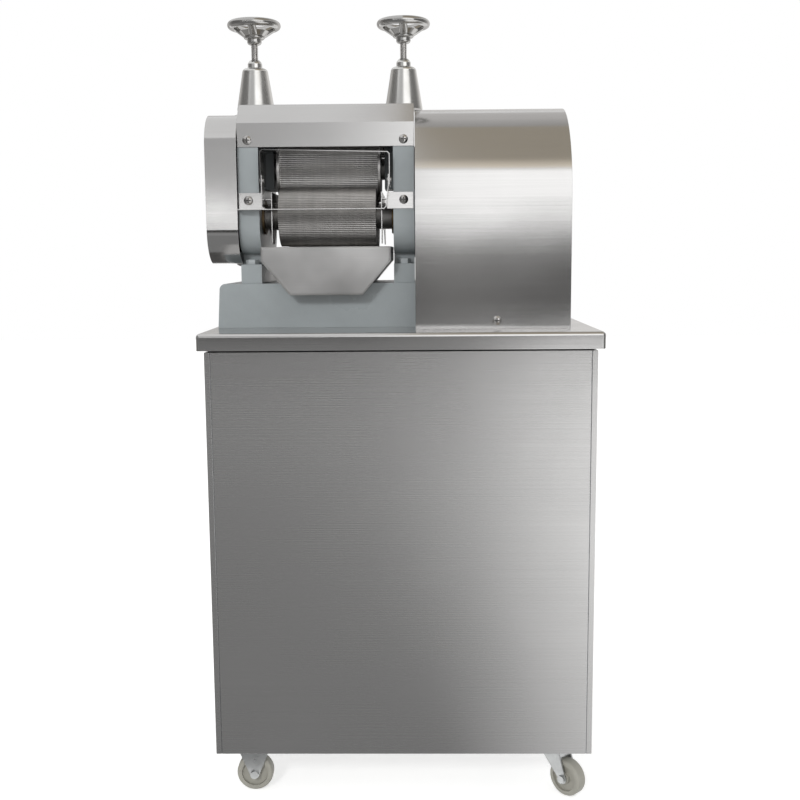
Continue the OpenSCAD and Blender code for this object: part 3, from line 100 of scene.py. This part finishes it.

# Machined steel: tool lines to the metre on each axis, and painted shade in screw recesses
TOOL_LINES = (900.0, 40.0, 40.0)
RECESS_SHADE_RANGE = (0.55, 0.97)
RECESS_SHADE_FACTOR = 0.06

# World, floor and key lamp: metres and watts, and a glow of 1 is white
WHITE = (1.0, 1.0, 1.0)
WARM = (1.0, 0.98, 0.96)
TAN = (1.0, 0.90, 0.74)
WORLD_STRENGTH = 0.75
FLOOR_COLOUR = (0.80, 0.80, 0.79)
FLOOR_ROUGHNESS = 0.9
FLOOR_GLOW = 0.56
FLOOR_REACH = 8.0
KEY_SIZE = 0.5
KEY_POWER = 42.0
KEY_AT = Vector((-0.95, -3.2, 2.0))
KEY_AIM = Vector((-0.05, -0.1, 0.65))

# Studio cards: the room round the part, and where the cards of the front wall and ceiling meet
WALL = 2.6
FRONT_Y = -2.5
CEILING_Z = 2.7
FLOOR_CARD_Z = 0.003
FLOOR_CARD_END_Y = -0.21
BAND_Z = 0.455
STRIP_Z = 0.80
LEFT_HIGH_Z = 0.93
RIGHT_HIGH_Z = 1.0
SPLIT_X = -0.45
CEILING_SPLIT_X = -0.02
CEILING_SPLIT_Y = 0.3
CEILING_HALF_WIDTH = 2.0
CEILING_BACK_Y = 2.2

X, Y = 0, 1
QUAD = [(0, 1, 2, 3)]


def in_scene(name, data):
    obj = bpy.data.objects.new(name, data)
    bpy.context.scene.collection.objects.link(obj)
    return obj


def mesh_object(name, points, faces, material):
    mesh = bpy.data.meshes.new(name)
    mesh.from_pydata(points, [], faces)
    mesh.materials.append(material)
    return in_scene(name, mesh)


def place_camera():
    yaw, pitch, roll = CAMERA_YAW, CAMERA_PITCH_DOWN, CAMERA_ROLL
    ahead = Vector((math.sin(yaw) * math.cos(pitch), math.cos(yaw) * math.cos(pitch),
                    -math.sin(pitch)))
    level_right = Vector((math.cos(yaw), -math.sin(yaw), 0.0))
    level_down = ahead.cross(level_right)
    right = math.cos(roll) * level_right + math.sin(roll) * level_down
    up = math.sin(roll) * level_right - math.cos(roll) * level_down
    data = bpy.data.cameras.new("camera")
    data.sensor_width = SENSOR_MM
    data.lens = LENS_MM
    camera = in_scene("camera", data)
    turn = Matrix((right, up, -ahead)).transposed()
    camera.matrix_world = Matrix.Translation(CAMERA_AT) @ turn.to_4x4()
    bpy.context.scene.camera = camera


def opaque(colour):
    return tuple(colour) + (1.0,)


def shade(colour, factor):
    return opaque(min(1.0, c * factor) for c in colour)


class Nodes:
    """A node tree with short ways to add and link its nodes."""

    def __init__(self, tree):
        self.tree = tree

    def add(self, kind, settings=None, **sockets):
        node = self.tree.nodes.new(kind)
        for name, value in (settings or {}).items():
            setattr(node, name, value)
        for name, value in sockets.items():
            self.set(node.inputs[name.replace("_", " ")], value)
        return node

    def set(self, socket, value):
        if isinstance(value, bpy.types.NodeSocket):
            self.tree.links.new(value, socket)
        else:
            socket.default_value = value

    def show(self, shader):
        self.set(self.tree.nodes["Material Output"].inputs["Surface"], shader.outputs[0])

    def coordinates(self, kind="Object"):
        return self.add("ShaderNodeTexCoord").outputs[kind]

    def axis(self, vector, index):
        return self.add("ShaderNodeSeparateXYZ", Vector=vector).outputs[index]

    def math(self, operation, a, b=0.0):
        node = self.add("ShaderNodeMath", {"operation": operation})
        self.set(node.inputs[0], a)
        self.set(node.inputs[1], b)
        return node.outputs[0]

    def weighted(self, a, share_a, b, share_b):
        """The sum of two values, each times its share."""
        return self.math("ADD", self.math("MULTIPLY", a, share_a),
                         self.math("MULTIPLY", b, share_b))

    def stretched(self, vector, scale):
        return self.add("ShaderNodeMapping", Vector=vector, Scale=scale).outputs[0]

    def noise(self, vector, scale, detail, roughness=0.55):
        node = self.add("ShaderNodeTexNoise", Vector=vector, Scale=scale, Detail=detail,
                        Roughness=roughness)
        return node.outputs["Fac"]

    def streaks(self, vector, scales, detail, roughness=0.55):
        """Noise with a scale of its own on each axis."""
        return self.noise(self.stretched(vector, scales), 1.0, detail, roughness)

    def spread(self, value, over=NOISE_RANGE, to=UNIT_RANGE):
        node = self.add("ShaderNodeMapRange", Value=value, From_Min=over[0], From_Max=over[1],
                        To_Min=to[0], To_Max=to[1])
        return node.outputs["Result"]

    def mix(self, factor, a, b):
        """Two colours mixed; the numbers are those of the Mix node's colour sockets."""
        node = self.add("ShaderNodeMix", {"data_type": "RGBA"})
        self.set(node.inputs["Factor"], factor)
        self.set(node.inputs[6], a)
        self.set(node.inputs[7], b)
        return node.outputs[2]

    def tinted(self, factor, colour, dark, light):
        """A colour that goes from a darker to a lighter shade with the factor."""
        return self.mix(factor, shade(colour, dark), shade(colour, light))

    def bump(self, height, strength, distance, edge=EDGE_RADIUS):
        """Fine relief over edges that are softened by a radius."""
        edges = self.add("ShaderNodeBevel", {"samples": 4}, Radius=edge)
        node = self.add("ShaderNodeBump", Height=height, Strength=strength, Distance=distance,
                        Normal=edges.outputs[0])
        return node.outputs["Normal"]


def start_material(name, metallic=0.0):
    material = bpy.data.materials.new(name)
    material.use_nodes = True
    n = Nodes(material.node_tree)
    shader = n.tree.nodes["Principled BSDF"]
    shader.inputs["Metallic"].default_value = metallic
    return material, n, shader


def surface(n, shader, tint, roughness, normal):
    n.set(shader.inputs["Base Color"], tint)
    n.set(shader.inputs["Roughness"], roughness)
    n.set(shader.inputs["Normal"], normal)


def brushed_sheet(name, colour, roughness, along="x", edge=EDGE_RADIUS, waves=1.0, painted_shade_x=None,
                  smear=0.0):
    """Brushed sheet with smudges and slight waves.

    Its lines run along one axis, or along Y on faces that look along X. Over the stretch of X given
    for painted shade, the sheet goes from a painted dark shade to its own colour. Smear is how much
    broad patches of dried juice darken it.
    """
    material, n, shader = start_material(name, metallic=1.0)
    here = n.coordinates()
    main = n.streaks(here, BRUSH_LINES[along], detail=3.0, roughness=0.6)
    end = n.streaks(here, BRUSH_LINES["y"], detail=3.0, roughness=0.6)
    facing = n.math("ABSOLUTE", n.axis(n.coordinates("Normal"), X))
    grain = n.mix(n.math("GREATER_THAN", facing, END_FACING), main, end)
    smudge = n.noise(here, scale=9.0, detail=3.0)
    dents = n.noise(here, scale=5.0, detail=1.0)
    tone = n.weighted(grain, 0.60, smudge, 0.40)
    tint = n.tinted(n.spread(tone), colour, dark=0.95, light=1.05)
    if smear:
        tint = n.mix(n.spread(smudge, SMEAR_RANGE), shade(colour, 1.0 - smear), tint)
    # Painted shade: the sheet darkens towards low X, for the shade on the feed chute's left side
    if painted_shade_x:
        tint = n.mix(n.spread(n.axis(here, X), painted_shade_x), shade(colour, SHADED_SIDE_FACTOR), tint)
    relief = n.weighted(grain, 0.006, dents, waves)
    surface(n, shader, tint,
            roughness=n.spread(tone, to=(roughness + 0.04, roughness - 0.04)),
            normal=n.bump(relief, strength=0.35, distance=0.004, edge=edge))
    tangent = n.add("ShaderNodeTangent", {"direction_type": "RADIAL", "axis": "Z"})
    n.set(shader.inputs["Tangent"], tangent.outputs[0])
    shader.inputs["Anisotropic"].default_value = 0.5
    return material


def enamel(name, colour, roughness=0.32):
    """Gloss enamel over a casting: orange peel, soft cast waves and faint dust."""
    material, n, shader = start_material(name)
    here = n.coordinates()
    cloud = n.noise(here, scale=14.0, detail=5.0)
    peel = n.noise(here, scale=700.0, detail=2.0)
    waves = n.noise(here, scale=90.0, detail=3.0)
    relief = n.weighted(peel, 0.3, waves, 0.7)
    surface(n, shader, n.tinted(n.spread(cloud), colour, dark=0.92, light=1.07),
            roughness=n.spread(cloud, to=(roughness + 0.06, roughness - 0.05)),
            normal=n.bump(relief, strength=0.25, distance=0.0012))
    shader.inputs["Coat Weight"].default_value = 0.12
    shader.inputs["Coat Roughness"].default_value = 0.35
    return material


def polished(name, colour, roughness):
    """Chrome with faint haze and hairlines."""
    material, n, shader = start_material(name, metallic=1.0)
    here = n.coordinates()
    haze = n.noise(here, scale=30.0, detail=4.0)
    hairs = n.streaks(here, (60.0, 60.0, 2500.0), detail=2.0)
    surface(n, shader, n.tinted(n.spread(haze), colour, dark=0.94, light=1.03),
            roughness=n.spread(haze, to=(roughness + 0.05, roughness - 0.02)),
            normal=n.bump(hairs, strength=0.03, distance=0.0002))
    return material


def machined(name, colour, roughness, along=TOOL_LINES, contrast=0.16, recess_shade_reach=0.0):
    """Turned or milled steel: tool lines round the work, and oil stains.

    The reach of the recess shade is how far from a recess's walls the painted shade goes.
    """
    material, n, shader = start_material(name, metallic=1.0)
    here = n.coordinates()
    lines = n.streaks(here, along, detail=3.0)
    stain = n.noise(here, scale=45.0, detail=5.0, roughness=0.65)
    tone = n.spread(n.weighted(lines, 0.5, stain, 0.5), SUM_RANGE)
    tint = n.tinted(tone, colour, dark=1 - contrast, light=1 + contrast)
    # Painted shade: ambient occlusion darkens the recess of a screw's head
    if recess_shade_reach:
        sky = n.add("ShaderNodeAmbientOcclusion", {"samples": 8, "only_local": True},
                    Distance=recess_shade_reach)
        unshaded = n.spread(sky.outputs["AO"], RECESS_SHADE_RANGE)
        tint = n.mix(unshaded, shade(colour, RECESS_SHADE_FACTOR), tint)
    surface(n, shader, tint,
            roughness=n.spread(stain, to=(roughness + 0.1, roughness - 0.06)),
            normal=n.bump(lines, strength=0.12, distance=0.0003))
    return material


def fluted(node, colour):
    """Machined roller: flute roots painted darker as shade, crests in the worn colour, and rings of
    wear.
    """
    low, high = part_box(node)
    material, n, shader = start_material(node + "_steel", metallic=1.0)
    here = n.coordinates()
    from_centre = n.add("ShaderNodeVectorMath", {"operation": "SUBTRACT"})
    n.set(from_centre.inputs[0], here)
    n.set(from_centre.inputs[1], (low + high) / 2)
    reach = n.add("ShaderNodeVectorMath", {"operation": "LENGTH"})
    n.set(reach.inputs[0], n.stretched(from_centre.outputs[0], (0.0, 1.0, 1.0)))
    crest = n.spread(reach.outputs["Value"], (ROLLER_RADIUS - FLUTE_DEPTH, ROLLER_RADIUS))
    stain = n.noise(here, scale=60.0, detail=5.0, roughness=0.65)
    rings = n.streaks(here, (260.0, 8.0, 8.0), detail=3.0)
    wear = n.spread(n.weighted(stain, 0.6, rings, 0.4), SUM_RANGE)
    worn = n.tinted(wear, colour, dark=0.80, light=1.20)
    # Painted shade: the flute roots take a darker shade of the colour than the crests
    surface(n, shader, n.mix(crest, shade(colour, 0.70), worn),
            roughness=n.spread(crest, UNIT_RANGE, to=(0.55, 0.34)),
            normal=n.bump(stain, strength=0.10, distance=0.0004))
    return material


def moulded(name, colour, roughness, grain=900.0, contrast=0.1):
    """Moulded plastic or rubber: fine spark-eroded grain and slight mottling."""
    material, n, shader = start_material(name)
    here = n.coordinates()
    fine = n.noise(here, scale=grain, detail=2.0)
    mottle = n.noise(here, scale=35.0, detail=4.0)
    surface(n, shader,
            n.tinted(n.spread(mottle), colour, dark=1 - contrast, light=1 + contrast),
            roughness=n.spread(mottle, to=(roughness + 0.07, roughness - 0.07)),
            normal=n.bump(fine, strength=0.15, distance=0.0004))
    return material


STAINLESS = (0.565, 0.56, 0.555)
LOWER_ROLLER = (0.58, 0.565, 0.55)
# The top roller is a lighter copy of the lower rollers' steel; its extra brightness is painted
# light
TOP_ROLLER_PAINTED_LIGHT = (0.76, 0.745, 0.73)

# The finish of each material slot: its name, colour and roughness
MATERIALS = {
    "brushed_stainless": brushed_sheet("stainless_across", STAINLESS, 0.15),
    "tube_steel": brushed_sheet("tube_steel", (0.42, 0.43, 0.44), 0.34, along="z"),
    "grey_paint": enamel("grey_paint", (0.318, 0.348, 0.358)),
    "chrome": polished("chrome", (0.47, 0.465, 0.455), 0.13),
    "roller_steel": machined("roller_steel", (0.30, 0.29, 0.28), 0.38),
    "gear_steel": machined("gear_steel", (0.38, 0.38, 0.37), 0.30),
    "spring_steel": machined("spring_steel", (0.16, 0.16, 0.17), 0.34),
    "zinc_steel": machined("zinc_steel", (0.55, 0.56, 0.56), 0.30, along=(120.0, 120.0, 120.0),
                           contrast=0.10),
    "bright_fasteners": machined("bright_fasteners", (0.50, 0.49, 0.48), 0.26, recess_shade_reach=0.003),
    # The bronze is darkened to near black as painted shade on the bushes inside the mill
    "bronze": machined("bronze", (0.20, 0.145, 0.085), 0.42),
    "black_rubber": moulded("black_rubber", (0.010, 0.010, 0.010), 0.70),
    "black_plastic": moulded("black_plastic", (0.022, 0.022, 0.023), 0.42),
    "nylon": moulded("nylon", (0.37, 0.36, 0.315), 0.45, grain=500.0, contrast=0.08),
    "motor_paint": enamel("motor_paint", (0.060, 0.075, 0.095)),
    "gearbox_paint": enamel("gearbox_paint", (0.085, 0.090, 0.095)),
}
CABINET_SHEET = brushed_sheet("cabinet_sheet", STAINLESS, 0.26, waves=0.5)
TOWER_CHROME = polished("tower_chrome", (0.66, 0.655, 0.64), 0.18)
SCREW_STEEL = machined("screw_steel", (0.66, 0.65, 0.64), 0.26)

# Nodes whose finish differs from their slot's
OWN_MATERIAL = {
    "front_panel": CABINET_SHEET,
    "rear_door": CABINET_SHEET,
    "cabinet_floor": CABINET_SHEET,
    "side_panels": brushed_sheet("side_sheet", STAINLESS, 0.26, along="y", waves=0.5),
    "worktop": brushed_sheet("worktop_sheet", STAINLESS, 0.16, waves=0.3),
    "juice_tray": brushed_sheet("tray_sheet", STAINLESS, 0.34, edge=0.005, waves=9.0, smear=0.22),
    # Its left side is painted darker as shade
    "feed_chute_upper": brushed_sheet("chute_sheet", STAINLESS, 0.18, painted_shade_x=(-0.18, -0.09)),
    "left_tower": TOWER_CHROME,
    "right_tower": TOWER_CHROME,
    "dome_nuts": TOWER_CHROME,
    # The bearing blocks take a near-black copy of the grey paint, as painted shade inside the mill
    "bearing_blocks": enamel("block_painted_shade", (0.085, 0.095, 0.10), 0.4),
    "hex_bolts": enamel("bolt_paint", (0.40, 0.43, 0.44), 0.3),
    "front_roller": fluted("front_roller", LOWER_ROLLER),
    "rear_roller": fluted("rear_roller", LOWER_ROLLER),
    "top_roller": fluted("top_roller", TOP_ROLLER_PAINTED_LIGHT),
}


def dress_nodes():
    for row in frame["record"]["subparts"]:
        node = frame["nodes"][row["node"]]
        material = OWN_MATERIAL.get(row["node"], MATERIALS[row["material_slot"]])
        node.data.materials.clear()
        node.data.materials.append(material)


def swept(name, points, sides, material):
    """A closed tube through rings of points; each ring has as many points as the tube has sides."""
    rings = len(points) // sides
    faces = [tuple(reversed(range(sides)))]
    for i in range(rings - 1):
        for j in range(sides):
            a, b = i * sides + j, i * sides + (j + 1) % sides
            faces.append((a, b, b + sides, a + sides))
    faces.append(tuple((rings - 1) * sides + j for j in range(sides)))
    return mesh_object(name, points, faces, material)


def threaded_rod(name, node, body):
    """The pressure screw with its thread cut; it stands for the plain rod of the same size."""
    low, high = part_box(node)
    centre = (low + high) / 2
    radius = (high.x - low.x) / 2
    rings = round((high.z - low.z) / THREAD_PITCH * THREAD_RINGS_PER_PITCH)
    points = []
    for i in range(rings + 1):
        z = low.z + (high.z - low.z) * i / rings
        chamfer = min(z - low.z, high.z - z)
        for j in range(THREAD_SIDES):
            turn = j / THREAD_SIDES
            phase = (z / THREAD_PITCH - turn) % 1.0
            crest = max(0.0, 1.0 - THREAD_FLANK * abs(2.0 * phase - 1.0))
            r = min(radius - THREAD_DEPTH * (1.0 - crest), radius - THREAD_DEPTH + chamfer)
            points.append((centre.x + r * math.cos(math.tau * turn),
                           centre.y + r * math.sin(math.tau * turn), z))
    rod = swept(name, points, THREAD_SIDES, SCREW_STEEL)
    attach(rod, body)
    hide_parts(node)


def half_spring(name, node, begin, end):
    """Half of a pressure spring, from begin to end as shares of its height.

    The spring's middle stays in the tower.
    """
    low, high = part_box(node)
    centre = (low + high) / 2
    wire = SPRING_WIRE / 2
    ring = (high.x - low.x) / 2 - wire
    rise = high.z - low.z - SPRING_WIRE
    steps = round(SPRING_RINGS_PER_TURN * SPRING_TURNS * (end - begin))
    points = []
    for i in range(steps + 1):
        along = begin + (end - begin) * i / steps
        turn = math.tau * SPRING_TURNS * along
        for j in range(SPRING_SIDES):
            around = -math.tau * j / SPRING_SIDES
            r = ring + wire * math.cos(around)
            points.append((centre.x + r * math.cos(turn), centre.y + r * math.sin(turn),
                           low.z + wire + rise * along + wire * math.sin(around)))
    piece = swept(name, points, SPRING_SIDES, MATERIALS["spring_steel"])
    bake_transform(piece)
    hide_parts(node)


def upright(y, x0, x1, z0, z1):
    return [(x0, y, z0), (x1, y, z0), (x1, y, z1), (x0, y, z1)]


def level(z, x0, x1, y0, y1):
    return [(x0, y0, z), (x1, y0, z), (x1, y1, z), (x0, y1, z)]


def sideways(x, y0, y1, z0, z1):
    return [(x, y0, z0), (x, y1, z0), (x, y1, z1), (x, y0, z1)]


def seen_by_eye(n):
    """1 for rays from the camera, and for what metal and glass mirror."""
    path = n.add("ShaderNodeLightPath")
    mirrored = n.math("MAXIMUM", path.outputs["Is Glossy Ray"],
                      path.outputs["Is Transmission Ray"])
    return n.math("MAXIMUM", path.outputs["Is Camera Ray"], mirrored)


def set_world():
    world = bpy.data.worlds.new("studio")
    bpy.context.scene.world = world
    world.use_nodes = True
    n = Nodes(world.node_tree)
    background = n.tree.nodes["Background"]
    background.inputs["Color"].default_value = opaque(WHITE)
    strength = n.spread(seen_by_eye(n), UNIT_RANGE, to=(WORLD_STRENGTH, 1.0))
    n.set(background.inputs["Strength"], strength)


def set_floor():
    """A pale floor that keeps shadows, and that the camera and metal see as white."""
    material, n, shader = start_material("floor")
    shader.inputs["Base Color"].default_value = opaque(FLOOR_COLOUR)
    shader.inputs["Roughness"].default_value = FLOOR_ROUGHNESS
    strength = n.math("MULTIPLY", seen_by_eye(n), FLOOR_GLOW)
    glow = n.add("ShaderNodeEmission", Color=opaque(WHITE), Strength=strength)
    both = n.add("ShaderNodeAddShader")
    n.set(both.inputs[0], shader.outputs[0])
    n.set(both.inputs[1], glow.outputs[0])
    n.show(both)
    corners = level(0.0, -FLOOR_REACH, FLOOR_REACH, -FLOOR_REACH, FLOOR_REACH)
    mesh_object("floor", corners, QUAD, material)


def set_key_light():
    """One soft lamp high on the left in front, for the shadows of the spout and the chute."""
    data = bpy.data.lights.new("key", "AREA")
    data.size = KEY_SIZE
    data.energy = KEY_POWER
    lamp = in_scene("key", data)
    lamp.location = KEY_AT
    lamp.rotation_euler = (KEY_AIM - KEY_AT).to_track_quat("-Z", "Y").to_euler()
    lamp.visible_glossy = False


def card(name, corners, colour, glow, over=UNIT_RANGE, axis=X):
    """A studio card that only metal mirrors.

    Its glow goes from the first value to the second over a stretch of one axis.
    """
    material = bpy.data.materials.new(name)
    material.use_nodes = True
    n = Nodes(material.node_tree)
    n.tree.nodes.remove(n.tree.nodes["Principled BSDF"])
    strength = n.spread(n.axis(n.coordinates(), axis), over, glow)
    n.show(n.add("ShaderNodeEmission", Color=opaque(colour), Strength=strength))
    obj = mesh_object(name, corners, QUAD, material)
    obj.visible_camera = False
    obj.visible_diffuse = False
    obj.visible_shadow = False


def set_cards():
    """The cards that give the brushed sheet its bright and dark bands."""
    card("front_high", upright(FRONT_Y, SPLIT_X, WALL, RIGHT_HIGH_Z, WALL), WHITE,
         glow=(0.62, 1.6), over=(-0.3, 0.15))
    card("front_strip", upright(FRONT_Y, SPLIT_X, WALL, STRIP_Z, RIGHT_HIGH_Z), WHITE,
         glow=(1.4, 1.6), over=(-0.3, 0.15))
    card("left_high", upright(FRONT_Y, -WALL, SPLIT_X, LEFT_HIGH_Z, WALL), WHITE,
         glow=(0.56, 0.56))
    card("left_strip", upright(FRONT_Y, -WALL, SPLIT_X, STRIP_Z, LEFT_HIGH_Z), WHITE,
         glow=(2.1, 1.3), over=(-0.75, -0.45))
    card("left_dark", upright(FRONT_Y, -WALL, 0.0, BAND_Z, STRIP_Z), WARM, glow=(0.04, 0.04))
    card("right_dark", upright(FRONT_Y + 0.01, 0.0, WALL, BAND_Z, STRIP_Z + 0.012), WARM,
         glow=(0.24, 0.11), over=(0.05, 0.40))
    card("front_low", upright(FRONT_Y, -WALL, WALL, 0.0, BAND_Z), WHITE,
         glow=(0.34, 1.45), over=(0.22, 0.53))
    card("front_floor", level(FLOOR_CARD_Z, -WALL, WALL, FRONT_Y, FLOOR_CARD_END_Y), WHITE,
         glow=(0.27, 1.35), over=(0.07, 0.48))
    card("left_floor", level(FLOOR_CARD_Z, -WALL, -0.262, FLOOR_CARD_END_Y, 1.6), WARM,
         glow=(0.10, 0.40), over=(-0.45, -0.9))
    for side, x in (("left", -WALL), ("right", WALL)):
        card("side_" + side, sideways(x, FRONT_Y, WALL, 0.0, WALL), WARM,
             glow=(0.22, 0.75), over=(0.3, 2.4), axis=Y)
    card("back", upright(WALL, -WALL, WALL, 0.0, WALL), WARM, glow=(0.5, 0.9), over=(-1.5, 1.5))
    card("ceiling_left",
         level(CEILING_Z, -CEILING_HALF_WIDTH, CEILING_SPLIT_X, -1.9, CEILING_BACK_Y), WHITE,
         glow=(0.95, 0.95))
    card("ceiling_right",
         level(CEILING_Z, CEILING_SPLIT_X, CEILING_HALF_WIDTH, -2.4, CEILING_SPLIT_Y), TAN,
         glow=(1.1, 0.45), over=(-2.4, -1.6), axis=Y)
    card("ceiling_back",
         level(CEILING_Z, CEILING_SPLIT_X, CEILING_HALF_WIDTH, CEILING_SPLIT_Y, CEILING_BACK_Y),
         WARM, glow=(0.45, 0.66), over=(0.3, 1.0), axis=Y)


place_camera()
dress_nodes()
for side in ("left", "right"):
    threaded_rod(side + "_screw_threaded", side + "_screw", side + "_adjuster")
    half_spring(side + "_spring_upper", side + "_spring", SPRING_MIDDLE, 1.0)
    half_spring(side + "_spring_lower", side + "_spring", 0.0, SPRING_MIDDLE)
set_world()
set_floor()
set_key_light()
set_cards()
bpy.context.scene.view_settings.view_transform = "Standard"
